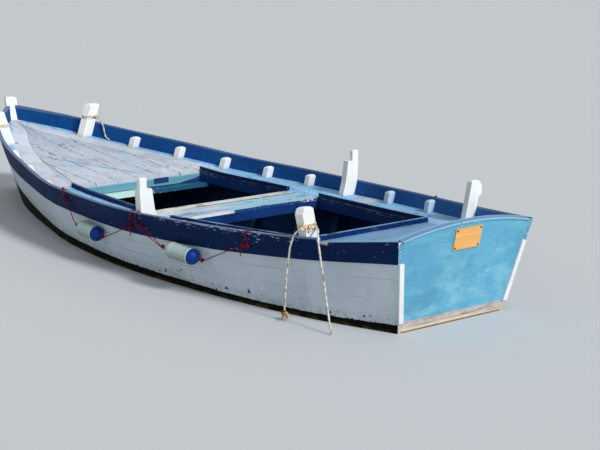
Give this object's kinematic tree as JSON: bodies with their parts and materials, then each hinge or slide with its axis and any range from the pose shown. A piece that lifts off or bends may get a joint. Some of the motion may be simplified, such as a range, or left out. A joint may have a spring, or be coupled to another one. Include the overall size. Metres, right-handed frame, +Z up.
{
  "type": "rowing boat",
  "caption": "Half-decked flat-bottomed wooden rowing boat with two open cockpits, a bridge seat, timber posts for oars and ropes, and a raked transom.",
  "frame": {"origin": "on the ground, under the middle of the boat's length and beam", "axes": "+X forward to the bow, +Y to port, +Z up"},
  "size_m": [5.25, 1.7845, 0.854],
  "materials": {
    "bottom_paint": "dark antifouling paint, matt",
    "white_hull_paint": "white oil paint on planks, dark boot-top below, scuffed",
    "navy_paint": "navy oil paint on planks, chipped along the edge",
    "inside_navy": "dark navy oil paint on timber, worn",
    "white_paint": "white oil paint on timber, worn at the corners",
    "sky_blue_paint": "sky blue oil paint, brushed and faded",
    "worn_grey_blue": "thin grey-blue paint, bare at the edge",
    "light_blue_paint": "light blue oil paint, faded",
    "weathered_deck_paint": "flaking white over light blue on grey timber",
    "turquoise_paint": "turquoise oil paint",
    "varnished_wood": "varnished",
    "fender_vinyl": "soft moulded vinyl with blue ends",
    "red_rope": "thin twisted rope, faded maroon",
    "white_rope": "three-strand rope, dirty white",
    "tan_rope": "three-strand rope, weathered tan"
  },
  "bodies": {
    "root": {"aft_deck": "light_blue_paint", "aft_deck_beam": "inside_navy", "aft_fender": "fender_vinyl", "bottom_boards": "inside_navy", "bottom_planks": "bottom_paint", "bridge_beams": "inside_navy", "bridge_planks": "weathered_deck_paint", "cockpit_end": "light_blue_paint", "floor_timbers": "inside_navy", "foredeck_beams": "turquoise_paint", "foredeck_planks": "weathered_deck_paint", "forward_fender": "fender_vinyl", "hanging_rope": "white_rope", "hanging_rope_knot": "tan_rope", "keel_strip": "bottom_paint", "line_from_aft_fender": "red_rope", "line_from_forward_fender": "red_rope", "line_to_aft_fender": "red_rope", "line_to_forward_fender": "red_rope", "name_board": "varnished_wood", "port_aft_coaming": "light_blue_paint", "port_bilge_runner": "bottom_paint", "port_bow_lashing": "tan_rope", "port_bow_post": "white_paint", "port_carlins": "inside_navy", "port_chine_log": "inside_navy", "port_corner_trim": "white_paint", "port_covering_board": "light_blue_paint", "port_forward_coaming": "light_blue_paint", "port_frames": "white_paint", "port_middle_post": "white_paint", "port_quarter_lashing": "tan_rope", "port_quarter_post": "white_paint", "port_sheer_strake": "navy_paint", "port_side_planks": "white_hull_paint", "shelf_plank": "turquoise_paint", "skeg": "bottom_paint", "starboard_aft_coaming": "light_blue_paint", "starboard_bilge_runner": "bottom_paint", "starboard_bow_lashing": "tan_rope", "starboard_bow_post": "white_paint", "starboard_carlins": "inside_navy", "starboard_chine_log": "inside_navy", "starboard_corner_trim": "white_paint", "starboard_covering_board": "light_blue_paint", "starboard_forward_coaming": "light_blue_paint", "starboard_frames": "white_paint", "starboard_middle_post": "white_paint", "starboard_quarter_post": "white_paint", "starboard_sheer_strake": "navy_paint", "starboard_side_planks": "white_hull_paint", "stem": "white_paint", "tight_rope": "white_rope", "transom": "sky_blue_paint", "transom_cap": "worn_grey_blue"}
  },
  "joints": []
}
